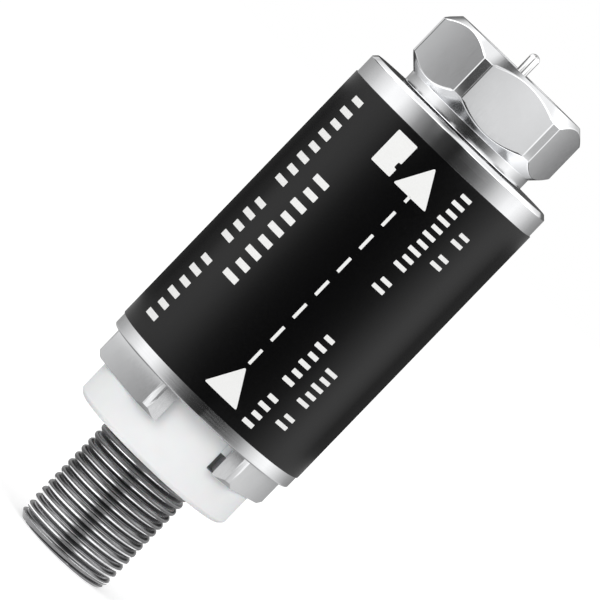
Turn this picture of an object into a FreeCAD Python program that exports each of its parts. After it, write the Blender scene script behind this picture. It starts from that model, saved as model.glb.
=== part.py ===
"""Ground loop isolator: an in-line coaxial adapter whose threaded port is insulated from its housing.

The axis is +Z. The origin is the centre of the threaded port's end face, and the plug with its coupling
nut is on top. Lengths are in millimetres and angles in degrees. The front looks along -Y.
"""

import FreeCAD
import Part
import Sketcher

import math
import os
import re

# Driving dimensions
SIZES = {
    # threaded port, below
    "thread_diameter": 9.4,
    "port_length": 10.75,
    "port_wall": 1.4,
    "port_lip_height": 0.8,
    "port_lip_width": 0.6,
    "port_end_chamfer": 0.45,
    "shoulder_width": 0.55,
    "barrel_overrun": 0.5,
    # contact and its two insulators, inside the port
    "entry_diameter": 1.6,
    "entry_wall": 1.2,
    "entry_funnel": 0.5,
    "dielectric_length": 8.0,
    "contact_bore": 0.95,
    "contact_wall": 0.45,
    "contact_bore_depth": 5.0,
    "contact_gap": 0.3,
    "collar_width": 0.5,
    "collar_height": 0.8,
    "contact_tail": 5.2,
    "slit_width": 0.15,
    "slit_depth": 4.6,
    # white bush that keeps the port off the cap
    "disc_height": 3.25,
    "disc_step": 0.1,
    "disc_bevel": 0.35,
    "bush_wall": 1.75,
    "bush_neck_gap": 0.1,
    "lug_height": 1.95,
    "lug_gap": 0.6,
    # slotted six-sided cap
    "cap_step": 1.6,
    "cap_height": 2.75,
    "cap_turn": 9.5,
    "cap_corner_trim": 0.2,
    "cap_edge_bevel": 0.35,
    "cap_neck_wall": 1.0,
    "slot_depth": 1.15,
    "slot_width": 6.3,
    "spigot_height": 2.5,
    # insulating cup, and the nut that clamps it and the port to the cap
    "cup_floor": 1.0,
    "cup_wall": 0.5,
    "port_nut_height": 2.0,
    "port_nut_wall": 1.3,
    # inner coaxial line
    "tube_bore": 3.4,
    "tube_wall": 0.3,
    "lead_diameter": 1.0,
    "ferrite_length": 16.25,
    "ferrite_gap": 0.15,
    # circuit board and what stands on it
    "board_thickness": 1.0,
    "lead_hole_gap": 0.1,
    "chip_length": 2.0,
    "chip_width": 1.25,
    "chip_height": 0.9,
    "chip_end": 0.4,
    "chip_end_step": 0.04,
    "chip_margin": 0.6,
    "signal_chip_length": 2.0,
    "pin_tail": 1.2,
    # housing and its label
    "housing_diameter": 19.5,
    "housing_wall": 1.0,
    "front_wall": 2.0,
    "housing_bevel": 0.35,
    "label_thickness": 0.1,
    "lower_rim": 1.2,
    "upper_rim": 2.1,
    # plug post, pin and coupling nut, above
    "pin_diameter": 1.0,
    "pin_root_diameter": 1.6,
    "pin_reach": 1.9,
    "pin_bevel": 0.25,
    "post_wall": 0.8,
    "post_shoulder": 0.4,
    "post_flange_width": 0.7,
    "post_flange_height": 1.0,
    "post_nut_wall": 1.4,
    "post_nut_height": 2.0,
    "post_overrun": 0.3,
    "front_recess": 0.2,
    "nut_across_flats": 13.85,
    "nut_turn": 11.0,
    "nut_height": 7.0,
    "nut_lip": 1.3,
    "nut_float": 0.1,
    "nut_skirt_height": 1.0,
    "nut_skirt_step": 0.42,
    "nut_corner_trim": 0.35,
    "nut_face_step": 0.3,
    # clearances, all on the radius
    "press_clearance": 0.02,
    "assembly_clearance": 0.05,
    "running_clearance": 0.08,
    "thread_clearance": 0.1,
    "post_flange_clearance": 0.5,
}

CHIPS = 8
SLOTS = 3
SLITS = 2

# What follows from the driving dimensions: radii first, then heights along the axis. The port keeps its size
# in a housing of any width, so the walls between the two share the room there is (wall_share is 1 as built).
PLACES = {
    "thread_radius": "thread_diameter / 2",
    "shank_radius": "thread_radius - shoulder_width",
    "port_bore_radius": "thread_radius - port_wall",
    "contact_radius": "contact_bore / 2 + contact_wall",
    "collar_radius": "contact_radius + collar_width",
    "lead_radius": "lead_diameter / 2",
    "tube_radius": "tube_bore / 2 + tube_wall",
    "bush_bore_radius": "shank_radius + assembly_clearance",
    "housing_radius": "housing_diameter / 2",
    "cap_apothem": "housing_radius - cap_step",
    "wall_room": "cap_apothem - bush_bore_radius - assembly_clearance",
    "wall_share": "wall_room / (bush_wall + cap_neck_wall + slot_depth)",
    "bush_neck_radius": "bush_bore_radius + bush_wall * wall_share",
    "cap_bore_radius": "bush_neck_radius + assembly_clearance",
    "cap_neck_radius": "cap_bore_radius + cap_neck_wall * wall_share",
    "cap_corner_radius": "cap_apothem / cos(30) - cap_corner_trim",
    "disc_radius": "cap_apothem - disc_step",
    "lug_width": "slot_width - lug_gap",
    "lug_shift": "lug_gap / 2 - assembly_clearance",
    "lug_inner_radius": "cap_neck_radius + assembly_clearance",
    "slot_reach": "cap_corner_radius + slot_depth",
    "port_nut_apothem": "shank_radius + port_nut_wall",
    "housing_bore_radius": "housing_radius - housing_wall",
    "spigot_radius": "housing_bore_radius - press_clearance",
    "board_radius": "housing_bore_radius - assembly_clearance",
    "cup_bore_radius": "board_radius - cup_wall",
    "ferrite_radius": "cup_bore_radius - ferrite_gap",
    "chip_circle": "board_radius - chip_margin - chip_length / 2",
    "nut_bore_radius": "thread_radius + thread_clearance",
    "post_flange_radius": "nut_bore_radius - post_flange_clearance",
    "post_neck_radius": "post_flange_radius - post_flange_width",
    "post_shank_radius": "post_neck_radius - post_shoulder",
    "post_bore_radius": "post_shank_radius - post_wall",
    "post_nut_apothem": "post_shank_radius + post_nut_wall",
    "pin_radius": "pin_diameter / 2",
    "pin_root_radius": "pin_root_diameter / 2",
    "nut_apothem": "nut_across_flats / 2",
    "nut_corner_radius": "nut_apothem / cos(30) - nut_corner_trim",
    "nut_skirt_radius": "nut_apothem - nut_skirt_step",
    "nut_face_radius": "nut_apothem - nut_face_step",
    "disc_bottom": "port_length",
    "cap_bottom": "disc_bottom + disc_height",
    "housing_bottom": "cap_bottom + cap_height",
    "cup_bottom": "housing_bottom + spigot_height",
    "port_nut_bottom": "cup_bottom + cup_floor",
    "port_nut_top": "port_nut_bottom + port_nut_height",
    "barrel_top": "port_nut_top + barrel_overrun",
    "contact_collar_bottom": "port_lip_height + dielectric_length",
    "contact_top": "contact_collar_bottom + collar_height + contact_tail",
    "board_bottom": "barrel_top + ferrite_length",
    "board_top": "board_bottom + board_thickness",
    "signal_chip_top": "board_top + signal_chip_length",
    "post_bottom": "signal_chip_top + pin_tail",
    "post_nut_seat": "post_bottom + post_overrun",
    "front_wall_bottom": "post_nut_seat + post_nut_height",
    "housing_top": "front_wall_bottom + front_wall",
    "nut_bottom": "housing_top + nut_float",
    "post_flange_bottom": "nut_bottom + nut_lip + nut_float",
    "post_flange_top": "post_flange_bottom + post_flange_height",
    "front_face": "post_flange_top - front_recess",
    "pin_tip": "nut_bottom + nut_height + pin_reach",
}

# Where a new outline's corners lie before its distances move them
ROUGH_RADIUS = 5.0
# How far a cut reaches past the piece that it trims
CLEAR_OF_PIECE = 20.0
SMALLEST_CUT = 1e-6

doc = FreeCAD.newDocument("ground_loop_isolator")
pieces = []


def fill_sheet(name, cells):
    """A spreadsheet with one named cell a row."""
    sheet = doc.addObject("Spreadsheet::Sheet", name)
    for row, (alias, content) in enumerate(cells.items(), start=1):
        sheet.set(f"A{row}", alias)
        sheet.set(f"B{row}", content)
        sheet.setAlias(f"B{row}", alias)
    return sheet


def naming_sheet(text, own_sheet=""):
    """The text with each size or place led by the name of its sheet, apart from one in own_sheet."""

    def lead(word):
        for sheet, names in (("sizes", SIZES), ("places", PLACES)):
            if word.group() in names and sheet != own_sheet:
                return f"{sheet}.{word.group()}"
        return word.group()

    return re.sub(r"[a-z_]+", lead, text)


def number(name):
    """The present value of one size or place."""
    sheet = sizes if name in SIZES else places
    return float(sheet.get(name))


def bind(item, prop, text):
    item.setExpression(prop, naming_sheet(text))


def new_body(label):
    body = doc.addObject("PartDesign::Body", label)
    body.Label = label
    pieces.append(body)
    return body


def new_sketch(body, name, plane, lift=None):
    """A sketch on one of the body's own planes, raised along that plane's normal by lift."""
    sketch = body.newObject("Sketcher::SketchObject", name)
    support = next(item for item in body.Origin.OriginFeatures if item.Role == plane)
    sketch.AttachmentSupport = (support, [""])
    sketch.MapMode = "FlatFace"
    if lift:
        bind(sketch, "AttachmentOffset.Base.z", lift)
    return sketch


def hold(sketch, kind, geometry, point, text, start):
    """A distance from the sketch's origin to a point of its geometry, bound to the sheet."""
    index = sketch.addConstraint(Sketcher.Constraint(kind, -1, 1, geometry, point, start))
    bind(sketch, f"Constraints[{index}]", text)


def draw_outline(sketch, corners):
    """Straight lines through the corners, each given by its two distances from the sketch's origin."""
    count = len(corners)
    first = sketch.GeometryCount
    turns = [math.tau * step / count for step in range(count)]
    rough = [FreeCAD.Vector(math.cos(turn) + 2, math.sin(turn) + 2) * ROUGH_RADIUS for turn in turns]
    for step in range(count):
        sketch.addGeometry(Part.LineSegment(rough[step], rough[(step + 1) % count]), False)
    for step in range(count):
        following = first + (step + 1) % count
        sketch.addConstraint(Sketcher.Constraint("Coincident", first + step, 2, following, 1))
    for step, (across, up) in enumerate(corners):
        hold(sketch, "DistanceX", first + step, 1, across, rough[step].x)
        hold(sketch, "DistanceY", first + step, 1, up, rough[step].y)


def draw_circle(sketch, radius):
    circle = sketch.addGeometry(Part.Circle(FreeCAD.Vector(), FreeCAD.Vector(0, 0, 1), ROUGH_RADIUS), False)
    sketch.addConstraint(Sketcher.Constraint("Coincident", circle, 3, -1, 1))
    index = sketch.addConstraint(Sketcher.Constraint("Radius", circle, ROUGH_RADIUS))
    bind(sketch, f"Constraints[{index}]", radius)


def draw_hexagon(sketch, apothem):
    """A regular hexagon with one flat facing the front."""
    half_side = f"({apothem}) * tan(30)"
    corner = f"({apothem}) / cos(30)"
    corners = (
        (f"-{half_side}", f"-({apothem})"),
        (half_side, f"-({apothem})"),
        (corner, "0"),
        (half_side, apothem),
        (f"-{half_side}", apothem),
        (f"-{corner}", "0"),
    )
    draw_outline(sketch, corners)


def draw_sector(sketch, inner, outer, width):
    """A block that faces the front: two straight sides width apart, between arcs round the axis."""
    half = number(width) / 2
    near, far = number(inner), number(outer)
    drops = [-math.sqrt(radius * radius - half * half) for radius in (near, far)]
    ends = [FreeCAD.Vector(side * half, drop) for drop in drops for side in (-1, 1)]
    inner_arc = Part.Arc(ends[0], FreeCAD.Vector(0, -near), ends[1])
    outer_arc = Part.Arc(ends[2], FreeCAD.Vector(0, -far), ends[3])
    lines = Part.LineSegment(ends[0], ends[2]), Part.LineSegment(ends[1], ends[3])
    for edge in (inner_arc, outer_arc, *lines):
        sketch.addGeometry(edge, False)
    for arc, radius in ((0, inner), (1, outer)):
        sketch.addConstraint(Sketcher.Constraint("Coincident", arc, 3, -1, 1))
        index = sketch.addConstraint(Sketcher.Constraint("Radius", arc, number(radius)))
        bind(sketch, f"Constraints[{index}]", radius)
    for line, point, arc_end in ((2, 1, (0, 1)), (2, 2, (1, 1)), (3, 1, (0, 2)), (3, 2, (1, 2))):
        sketch.addConstraint(Sketcher.Constraint("Coincident", line, point, *arc_end))
    for line, side in ((2, -1), (3, 1)):
        sketch.addConstraint(Sketcher.Constraint("Vertical", line))
        hold(sketch, "DistanceX", line, 1, f"{side} * {width} / 2", side * half)


def turned(label, corners):
    """A piece turned on the axis, from a closed outline of (radius, height) corners."""
    body = new_body(label)
    sketch = new_sketch(body, label + "_outline", "XZ_Plane")
    draw_outline(sketch, corners)
    turning = body.newObject("PartDesign::Revolution", label + "_turning")
    turning.Profile = sketch
    turning.ReferenceAxis = (sketch, ["V_Axis"])
    turning.Angle = 360
    return body


def tube(label, inner, outer, height):
    """A plain ring, washer or tube, or a rod where inner is 0."""
    return turned(label, ((inner, "0"), (outer, "0"), (outer, height), (inner, height)))


def pad(body, sketch, length):
    feature = body.newObject("PartDesign::Pad", sketch.Name + "_pad")
    feature.Profile = sketch
    bind(feature, "Length", length)
    return feature


def cut_up(body, sketch, depth):
    """A cut from the sketch along +Z, which has to take something off the body."""
    doc.recompute()
    before = body.Shape.Volume
    cut = body.newObject("PartDesign::Pocket", sketch.Name + "_cut")
    cut.Profile = sketch
    cut.Reversed = True
    bind(cut, "Length", depth)
    doc.recompute()
    if before - body.Shape.Volume < SMALLEST_CUT:
        raise ValueError(f"{cut.Name} cuts nothing")
    return cut


def repeat_round(body, feature, count, span):
    """Copies of the feature round the axis, spread evenly over span degrees."""
    pattern = body.newObject("PartDesign::PolarPattern", feature.Name + "_pattern")
    pattern.Originals = [feature]
    axis = next(item for item in body.Origin.OriginFeatures if item.Role == "Z_Axis")
    pattern.Axis = (axis, [""])
    pattern.Angle = span
    pattern.Occurrences = count
    body.Tip = pattern


def stand(body, height, turn=None):
    """Sets the piece's place: its height on the axis, and its turn about it in degrees."""
    bind(body, "Placement.Base.z", height)
    if turn:
        body.Placement.Rotation = FreeCAD.Rotation(FreeCAD.Vector(0, 0, 1), 1)
        bind(body, "Placement.Rotation.Angle", turn)


def flats(body, name, apothem, depth, corner):
    """Mills six flats on a round blank, up to the given depth."""
    sketch = new_sketch(body, name, "XY_Plane")
    draw_hexagon(sketch, apothem)
    draw_circle(sketch, f"{corner} + {CLEAR_OF_PIECE}")
    cut_up(body, sketch, depth)


def hex_nut(label, apothem, bore, height):
    """A plain six-sided nut. Its thread is left out."""
    body = new_body(label)
    sketch = new_sketch(body, label + "_outline", "XY_Plane")
    draw_hexagon(sketch, apothem)
    draw_circle(sketch, bore)
    pad(body, sketch, height)
    return body


def make_port_barrel():
    """The threaded port: a lip in front, a bore behind, and a shoulder that seats on the bush."""
    body = turned(
        "port_barrel",
        (
            ("port_bore_radius - port_lip_width", "0"),
            ("thread_radius - port_end_chamfer", "0"),
            ("thread_radius", "port_end_chamfer"),
            ("thread_radius", "port_length"),
            ("shank_radius", "port_length"),
            ("shank_radius", "barrel_top"),
            ("port_bore_radius", "barrel_top"),
            ("port_bore_radius", "port_lip_height"),
            ("port_bore_radius - port_lip_width", "port_lip_height"),
        ),
    )
    stand(body, "0")


def make_port_dielectric():
    """The insulator in the port's mouth: a funnelled entry, a well for the contact, a seat for its collar."""
    well = "contact_radius + thread_clearance"
    seat = "collar_radius + press_clearance"
    body = turned(
        "port_dielectric",
        (
            ("entry_diameter / 2 + entry_funnel", "0"),
            ("port_bore_radius - press_clearance", "0"),
            ("port_bore_radius - press_clearance", "dielectric_length + collar_height"),
            (seat, "dielectric_length + collar_height"),
            (seat, "dielectric_length"),
            (well, "dielectric_length"),
            (well, "entry_wall"),
            ("entry_diameter / 2", "entry_wall"),
            ("entry_diameter / 2", "entry_funnel"),
        ),
    )
    stand(body, "port_lip_height")


def make_port_contact():
    """The socket contact: slit spring fingers in front, a collar that holds it, and a tail behind."""
    front = "entry_wall + contact_gap"
    collar = "dielectric_length"
    top = "dielectric_length + collar_height + contact_tail"
    body = turned(
        "port_contact",
        (
            ("contact_bore / 2", front),
            ("contact_radius", front),
            ("contact_radius", collar),
            ("collar_radius", collar),
            ("collar_radius", f"{collar} + collar_height"),
            ("contact_radius", f"{collar} + collar_height"),
            ("contact_radius", top),
            ("0", top),
            ("0", f"{front} + contact_bore_depth"),
            ("contact_bore / 2", f"{front} + contact_bore_depth"),
        ),
    )
    slit = new_sketch(body, "port_contact_slit", "XY_Plane", front)
    reach = "collar_radius"
    draw_outline(
        slit,
        (
            ("-slit_width / 2", f"-{reach}"),
            ("slit_width / 2", f"-{reach}"),
            ("slit_width / 2", reach),
            ("-slit_width / 2", reach),
        ),
    )
    cut = cut_up(body, slit, "slit_depth")
    repeat_round(body, cut, SLITS, 180)
    stand(body, "port_lip_height")


def make_port_rear_insulator():
    """The second insulator, which holds the contact's collar down in its seat."""
    bore = "contact_radius + press_clearance"
    outer = "port_bore_radius - press_clearance"
    body = tube("port_rear_insulator", bore, outer, "contact_tail")
    stand(body, "contact_collar_bottom + collar_height")


def make_isolator_bush():
    """The white bush: a disc under the cap, a neck through it, and lugs that rise into its slots."""
    top = "disc_height + cap_height + spigot_height - bush_neck_gap"
    body = turned(
        "isolator_bush",
        (
            ("bush_bore_radius", "0"),
            ("disc_radius - disc_bevel", "0"),
            ("disc_radius", "disc_bevel"),
            ("disc_radius", "disc_height"),
            ("bush_neck_radius", "disc_height"),
            ("bush_neck_radius", top),
            ("bush_bore_radius", top),
        ),
    )
    lug = new_sketch(body, "isolator_bush_lug", "XY_Plane", "disc_height")
    draw_sector(lug, "lug_inner_radius", "disc_radius", "lug_width")
    repeat_round(body, pad(body, lug, "lug_height"), SLOTS, 360)
    stand(body, "disc_bottom", "cap_turn * 1 deg - asin(lug_shift / disc_radius)")


def make_end_cap():
    """The metal cap: a six-sided flange slotted in to its neck, and a spigot that closes the housing."""
    body = turned(
        "end_cap",
        (
            ("cap_bore_radius", "0"),
            ("cap_corner_radius - cap_edge_bevel", "0"),
            ("cap_corner_radius", "cap_edge_bevel"),
            ("cap_corner_radius", "cap_height"),
            ("spigot_radius", "cap_height"),
            ("spigot_radius", "cap_height + spigot_height"),
            ("cap_bore_radius", "cap_height + spigot_height"),
        ),
    )
    flats(body, "end_cap_flats", "cap_apothem", "cap_height", "cap_corner_radius")
    slot = new_sketch(body, "end_cap_slot", "XY_Plane")
    draw_sector(slot, "cap_neck_radius", "slot_reach", "slot_width")
    repeat_round(body, cut_up(body, slot, "cap_height"), SLOTS, 360)
    stand(body, "cap_bottom", "cap_turn")


def make_port_clamp():
    """The insulating cup, whose floor the nut clamps to the cap, and whose wall lines the housing."""
    bore = "shank_radius + assembly_clearance"
    height = "board_bottom - cup_bottom"
    cup = turned(
        "insulating_cup",
        (
            (bore, "0"),
            ("board_radius", "0"),
            ("board_radius", height),
            ("cup_bore_radius", height),
            ("cup_bore_radius", "cup_floor"),
            (bore, "cup_floor"),
        ),
    )
    stand(cup, "cup_bottom")
    nut = hex_nut("port_nut", "port_nut_apothem", bore, "port_nut_height")
    stand(nut, "port_nut_bottom", "cap_turn")


def make_inner_line():
    """The coaxial line inside: a tube pressed into the port, its insulation and the lead along the axis."""
    bore = "tube_bore / 2"
    plug = "port_bore_radius - press_clearance"
    outer = turned(
        "inner_tube",
        (
            (bore, "contact_top"),
            (plug, "contact_top"),
            (plug, "barrel_top"),
            ("tube_radius", "barrel_top"),
            ("tube_radius", "board_bottom"),
            (bore, "board_bottom"),
        ),
    )
    stand(outer, "0")
    inside = "lead_radius + press_clearance"
    length = "board_bottom - contact_top"
    insulation = tube("lead_insulation", inside, "tube_bore / 2 - press_clearance", length)
    stand(insulation, "contact_top")
    lead = tube("inner_lead", "0", "lead_radius", "board_top - contact_top")
    stand(lead, "contact_top")


def make_ferrite_sleeve():
    """The ferrite round the inner tube, from the barrel's end to the board."""
    bore = "tube_radius + assembly_clearance"
    body = tube("ferrite_sleeve", bore, "ferrite_radius", "ferrite_length")
    stand(body, "barrel_top")


def make_circuit_board():
    board = tube("circuit_board", "lead_radius + lead_hole_gap", "board_radius", "board_thickness")
    stand(board, "board_bottom")


def make_chip(label, length, width, height):
    """A chip component lying along X, with its two metal ends standing a little proud of its body."""
    body = new_body(label)
    block = new_sketch(body, label + "_block", "YZ_Plane")
    step = "chip_end_step"
    draw_outline(block, rectangle(f"{width} / 2 - {step}", step, f"{height} - {step}"))
    middle = pad(body, block, length)
    middle.Midplane = True
    for side, away in (("first", True), ("second", False)):
        end = new_sketch(body, f"{label}_{side}_end", "YZ_Plane")
        draw_outline(end, rectangle(f"{width} / 2", "0", height))
        outward = "-1" if away else "1"
        bind(end, "AttachmentOffset.Base.z", f"{outward} * ({length} / 2 - chip_end)")
        pad(body, end, "chip_end").Reversed = away
    return body


def rectangle(half_width, low, high):
    return (f"-({half_width})", low), (half_width, low), (half_width, high), (f"-({half_width})", high)


def make_ground_chips():
    """The ring of chips across the insulated ground: capacitors, and one resistor that bleeds charge."""
    for order in range(CHIPS):
        label = f"ground_capacitor_{order + 1}" if order + 1 < CHIPS else "bleed_resistor"
        body = make_chip(label, "chip_length", "chip_width", "chip_height")
        angle = order * 360 / CHIPS
        stand(body, "board_top", f"{angle}" if order else None)
        bind(body, "Placement.Base.x", f"chip_circle * cos({angle})")
        bind(body, "Placement.Base.y", f"chip_circle * sin({angle})")


def make_signal_capacitor():
    """The capacitor that stands on end between the inner lead and the plug's pin."""
    body = make_chip("signal_capacitor", "signal_chip_length", "chip_width", "chip_width")
    body.Placement.Rotation = FreeCAD.Rotation(FreeCAD.Vector(0, 1, 0), -90)
    bind(body, "Placement.Base.x", "chip_width / 2")
    bind(body, "Placement.Base.z", "board_top + signal_chip_length / 2")


def make_housing():
    """The round shell: open below for the cap, with its front wall in one piece."""
    wall = "front_wall_bottom - housing_bottom"
    top = "housing_top - housing_bottom"
    hole = "post_shank_radius + press_clearance"
    body = turned(
        "housing",
        (
            ("housing_bore_radius", "0"),
            ("housing_radius", "0"),
            ("housing_radius", f"{top} - housing_bevel"),
            ("housing_radius - housing_bevel", top),
            (hole, top),
            (hole, wall),
            ("housing_bore_radius", wall),
        ),
    )
    stand(body, "housing_bottom")


def make_label_sleeve():
    """The printed sleeve round the housing, between its two bare rims."""
    length = "housing_top - housing_bottom - lower_rim - upper_rim"
    body = tube("label_sleeve", "housing_radius", "housing_radius + label_thickness", length)
    stand(body, "housing_bottom + lower_rim")


def make_front_post():
    """The plug's post: a shank in the front wall, a neck that the nut turns on, and a flange in front."""
    body = turned(
        "front_post",
        (
            ("post_bore_radius", "post_bottom"),
            ("post_shank_radius", "post_bottom"),
            ("post_shank_radius", "housing_top"),
            ("post_neck_radius", "housing_top"),
            ("post_neck_radius", "post_flange_bottom"),
            ("post_flange_radius", "post_flange_bottom"),
            ("post_flange_radius", "post_flange_top"),
            ("post_bore_radius", "post_flange_top"),
        ),
    )
    stand(body, "0")
    nut = hex_nut("post_nut", "post_nut_apothem", "post_shank_radius + press_clearance", "post_nut_height")
    stand(nut, "post_nut_seat")


def make_front_dielectric():
    """The insulator that holds the pin in the post, a little below the flange's face."""
    bore = "pin_root_radius + press_clearance"
    outer = "post_bore_radius - press_clearance"
    body = tube("front_dielectric", bore, outer, "front_face - post_bottom")
    stand(body, "post_bottom")


def make_center_pin():
    """The plug's pin: a thick root in the dielectric, and a free end with a bevelled tip."""
    root = "front_face - signal_chip_top"
    tip = "pin_tip - signal_chip_top"
    body = turned(
        "center_pin",
        (
            ("0", "0"),
            ("pin_root_radius", "0"),
            ("pin_root_radius", root),
            ("pin_radius", root),
            ("pin_radius", f"{tip} - pin_bevel"),
            ("pin_radius - pin_bevel", tip),
            ("0", tip),
        ),
    )
    stand(body, "signal_chip_top")


def make_coupling_nut():
    """The captive nut: a lip behind the post's flange, its bore, and six flats with turned corners."""
    lip_bore = "post_neck_radius + running_clearance"
    rear_bevel = "nut_corner_radius - nut_skirt_radius"
    front_bevel = "nut_corner_radius - nut_face_radius"
    body = turned(
        "coupling_nut",
        (
            (lip_bore, "0"),
            ("nut_skirt_radius", "0"),
            ("nut_skirt_radius", "nut_skirt_height"),
            ("nut_corner_radius", f"nut_skirt_height + {rear_bevel}"),
            ("nut_corner_radius", f"nut_height - ({front_bevel})"),
            ("nut_face_radius", "nut_height"),
            ("nut_bore_radius", "nut_height"),
            ("nut_bore_radius", "nut_lip"),
            (lip_bore, "nut_lip"),
        ),
    )
    flats(body, "coupling_nut_flats", "nut_apothem", "nut_height", "nut_corner_radius")
    stand(body, "nut_bottom", "nut_turn")


def check_pieces():
    """Raises unless every object is sound and every piece is a valid solid."""
    for item in doc.Objects:
        if {"Invalid", "Error"} & set(item.State):
            raise ValueError(f"{item.Name} failed: {item.State}")
    for piece in pieces:
        shape = piece.Shape
        if shape.isNull() or not shape.isValid() or len(shape.Solids) != 1:
            raise ValueError(f"{piece.Label} is not one valid solid")


def write_pieces():
    os.makedirs("parts", exist_ok=True)
    for piece in pieces:
        piece.Shape.exportStep(f"parts/{piece.Label}.step")
        print(f"{piece.Label}: {piece.Shape.Volume:.2f} mm3")


sizes = fill_sheet("sizes", {name: str(value) for name, value in SIZES.items()})
places = fill_sheet("places", {name: "=" + naming_sheet(text, "places") for name, text in PLACES.items()})
doc.recompute()

make_port_barrel()
make_port_dielectric()
make_port_contact()
make_port_rear_insulator()
make_isolator_bush()
make_end_cap()
make_port_clamp()
make_inner_line()
make_ferrite_sleeve()
make_circuit_board()
make_ground_chips()
make_signal_capacitor()
make_housing()
make_label_sleeve()
make_front_post()
make_front_dielectric()
make_center_pin()
make_coupling_nut()

doc.recompute()
check_pieces()
write_pieces()
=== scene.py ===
"""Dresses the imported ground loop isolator: threads, soft edges, printed label, finishes, camera and light."""

import math

import bmesh
import bpy
from mathutils import Matrix, Quaternion, Vector


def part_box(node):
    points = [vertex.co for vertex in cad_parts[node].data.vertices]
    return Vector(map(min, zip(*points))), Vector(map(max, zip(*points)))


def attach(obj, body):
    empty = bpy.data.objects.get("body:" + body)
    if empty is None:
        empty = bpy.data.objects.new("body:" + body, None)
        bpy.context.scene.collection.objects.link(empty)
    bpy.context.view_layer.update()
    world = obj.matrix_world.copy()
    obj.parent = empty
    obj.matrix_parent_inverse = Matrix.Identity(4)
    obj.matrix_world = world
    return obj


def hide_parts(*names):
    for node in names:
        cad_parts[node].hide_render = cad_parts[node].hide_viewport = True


bl_info = {
    "name": "Ground loop isolator",
    "version": (1, 0, 0),
    "blender": (4, 5, 0),
    "location": "3D View > Sidebar > Isolator",
    "description": "Builds an in-line coaxial isolator with real threads, a printed label and metal finishes",
    "category": "Object",
}

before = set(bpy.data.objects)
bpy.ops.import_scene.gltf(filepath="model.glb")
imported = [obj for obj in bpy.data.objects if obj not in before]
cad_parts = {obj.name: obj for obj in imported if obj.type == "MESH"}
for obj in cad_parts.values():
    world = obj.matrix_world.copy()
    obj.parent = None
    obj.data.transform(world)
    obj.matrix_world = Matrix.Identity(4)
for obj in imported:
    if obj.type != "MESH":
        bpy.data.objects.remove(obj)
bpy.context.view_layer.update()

MM = 0.001
FULL_TURN = math.tau
WHITE = (1.0, 1.0, 1.0, 1.0)
FIXED = "adapter"
TURNING = "nut"

# Columns round the axis of what is turned on a lathe, and columns and rows to each turn of the two threads
TURNED_COLUMNS = 192
THREAD_COLUMNS = 144
THREAD_ROWS = 16
# How far the port's shank, bore and lip lie inside the crest of its thread
PORT_SHANK, PORT_BORE, PORT_LIP = 0.55 * MM, 1.4 * MM, 2.0 * MM
# The housing's walls and bevel, and the radius of the hole for the plug's post
SHELL_WALL, FRONT_WALL, HOUSING_BEVEL, POST_HOLE = 1.0 * MM, 2.0 * MM, 0.35 * MM, 3.22 * MM
# The cap's turn, and the lugs' heads: size, and distance from the slot's middle, the axis and the housing
CAP_TURN = 9.5
HEAD_SIZE = (0.7 * MM, 0.9 * MM, 0.95 * MM)
HEAD_ASIDE, HEAD_OUT, HEAD_GAP = 2.79 * MM, 7.1 * MM, 0.1 * MM
# The nut's turn, and its radii: corners, flats, skirt, front face, bore and rear hole
NUT_TURN = math.radians(11.0)
NUT_CORNER, NUT_FLAT = 7.75 * MM, 6.925 * MM
NUT_SKIRT, NUT_FACE = NUT_FLAT - 0.42 * MM, NUT_FLAT - 0.3 * MM
NUT_BORE, NUT_HOLE = 4.8 * MM, 3.68 * MM
# Where the nut's flats, its lip inside and its thread begin over its rear face, and its mouth's bevel
NUT_REAR, NUT_LIP, NUT_THREAD_START, NUT_MOUTH = 1.0 * MM, 1.3 * MM, 1.55 * MM, 0.3 * MM
# How its thread fades at both ends, and how far the band of its turns reaches into the wall
NUT_THREAD_ENDS, NUT_THREAD_BACK = (0.2 * MM, 0.3 * MM), 0.15 * MM
# The pin's radius and the height of its domed tip
PIN_RADIUS, PIN_DOME = 0.5 * MM, 0.42 * MM
# Edges of the post and the plug's dielectric, and of the dielectric in the port's mouth
POST_EDGE, MOUTH_EDGE = 0.08 * MM, 0.07 * MM
# The fired body of the chips on the board, from the axis, and the tinned ends of the standing chip
CHIP_BODY, CHIP_END = (6.48 * MM, 7.72 * MM), 0.4 * MM
# Vertices nearer than this are one vertex
SAME_PLACE = 1e-6


def radius_of(node):
    """Half the width of a node's box across X."""
    low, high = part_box(node)
    return (high.x - low.x) / 2


def foot_of(node):
    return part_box(node)[0].z


def top_of(node):
    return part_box(node)[1].z


def ends_of(node):
    return foot_of(node), top_of(node)


# Sizes and colours that a user would change


def length_setting(label, about, default):
    return bpy.props.FloatProperty(
        name=label, description=about, default=default, min=0.0, precision=6,
        subtype="DISTANCE", unit="LENGTH",
    )


def angle_setting(label, about, default):
    return bpy.props.FloatProperty(
        name=label, description=about, default=math.radians(default), subtype="ANGLE", unit="ROTATION"
    )


def colour_setting(label, about, default):
    return bpy.props.FloatVectorProperty(
        name=label, description=about, default=default, min=0.0, max=1.0, size=3, subtype="COLOR"
    )


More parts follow.
